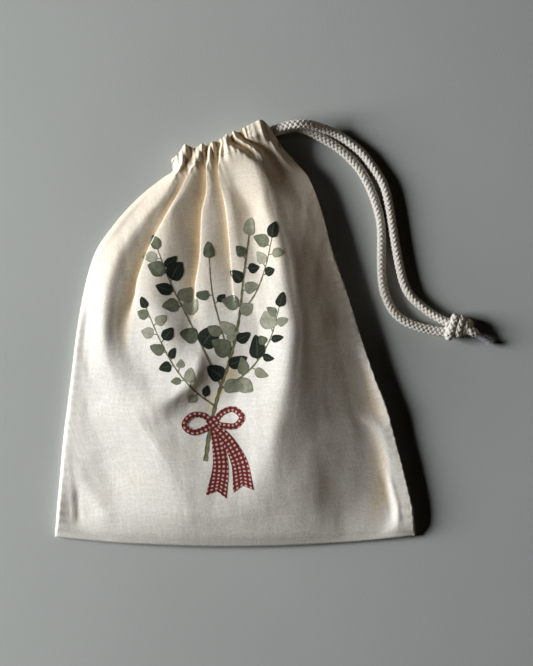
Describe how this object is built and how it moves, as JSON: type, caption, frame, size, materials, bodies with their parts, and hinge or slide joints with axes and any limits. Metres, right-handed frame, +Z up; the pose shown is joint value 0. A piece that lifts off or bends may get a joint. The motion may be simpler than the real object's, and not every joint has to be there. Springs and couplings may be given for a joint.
{
  "type": "drawstring gift pouch",
  "caption": "Flat cotton gift pouch with a stitched channel round its mouth and a doubled braided drawstring that gathers it shut.",
  "frame": {"origin": "middle of the pouch's footprint, on the surface it lies on; the cord's tails are left out of the footprint", "axes": "+Y from the bottom seam towards the mouth, +X towards the cord's exit side, +Z up out of the front panel"},
  "size_m": [0.3045, 0.298, 0.0279],
  "materials": {
    "cotton": "natural unbleached plain-weave cotton, matt",
    "thread": "natural sewing thread",
    "braid": "natural cotton braid, matt",
    "tip_plastic": "smoky grey shrunk sleeve, slight gloss"
  },
  "bodies": {
    "pouch": {"back_panel": "cotton", "front_panel": "cotton", "seam_allowance_left": "cotton", "seam_allowance_right": "cotton", "seam_allowance_bottom": "cotton", "casing_front_exit": "cotton", "casing_back_exit": "cotton", "channel_stitching_front": "thread", "channel_stitching_back": "thread", "exit_bartack_front": "thread", "exit_bartack_back": "thread"},
    "drawstring": {"drawstring_in_channel": "braid", "casing_closed_end": "cotton"},
    "gather_1": {"casing_front_gather_1": "cotton", "casing_back_gather_1": "cotton"},
    "gather_2": {"casing_front_gather_2": "cotton", "casing_back_gather_2": "cotton"},
    "gather_3": {"casing_front_gather_3": "cotton", "casing_back_gather_3": "cotton"},
    "tails": {"drawstring_tail_upper": "braid", "drawstring_tail_lower": "braid", "drawstring_knot": "braid", "cord_tip": "braid", "tip_sleeve": "tip_plastic"}
  },
  "joints": [
    {"name": "drawstring_pull", "type": "slide", "parent": "pouch", "child": "drawstring", "axis": [0.9588, 0.284, 0], "range_m": [-0.008, 0.02]},
    {"name": "gather_1_draw", "type": "slide", "parent": "pouch", "child": "gather_1", "axis": [0.9588, 0.284, 0], "range_m": [-0.006, 0.015]},
    {"name": "gather_2_draw", "type": "slide", "parent": "pouch", "child": "gather_2", "axis": [0.9588, 0.284, 0], "range_m": [-0.004, 0.01]},
    {"name": "gather_3_draw", "type": "slide", "parent": "pouch", "child": "gather_3", "axis": [0.9588, 0.284, 0], "range_m": [-0.002, 0.005]},
    {"name": "tail_swing", "type": "hinge", "parent": "drawstring", "child": "tails", "pos_m": [0.03667, 0.14493, 0], "axis": [0, 0, 1], "range_deg": [-4, 75]}
  ],
  "couplings": [
    {"joint": "gather_1_draw", "follows": "drawstring_pull", "ratio": 0.75},
    {"joint": "gather_2_draw", "follows": "drawstring_pull", "ratio": 0.5},
    {"joint": "gather_3_draw", "follows": "drawstring_pull", "ratio": 0.25}
  ]
}
